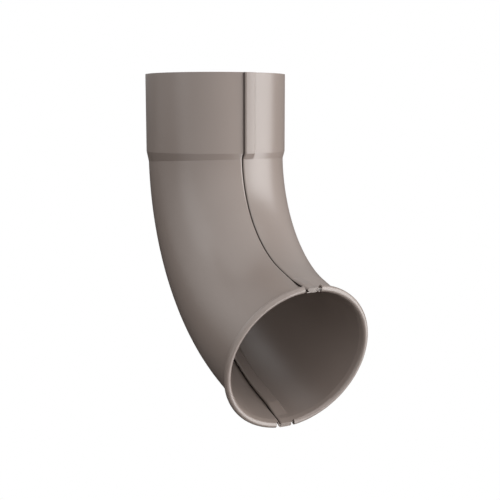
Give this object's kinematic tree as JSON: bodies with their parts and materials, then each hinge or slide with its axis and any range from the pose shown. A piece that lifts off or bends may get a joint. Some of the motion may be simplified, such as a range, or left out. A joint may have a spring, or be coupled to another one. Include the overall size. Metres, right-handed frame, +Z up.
{
  "type": "downpipe shoe",
  "caption": "Bent outlet shoe for a round downpipe: plain socket, pressed half shells with folded lock seams, and a flared outlet with a rolled rim.",
  "frame": {"origin": "middle of the socket's mouth, on the bore's axis", "axes": "+Z up, along the socket's bore and out of its mouth; the outlet throws towards -Y; +X to the right half shell"},
  "size_m": [0.1086, 0.191, 0.239],
  "materials": {
    "coated_sheet": "warm grey semi-gloss coating"
  },
  "bodies": {
    "root": {"left_half_shell": "coated_sheet", "right_half_shell": "coated_sheet"}
  },
  "joints": []
}
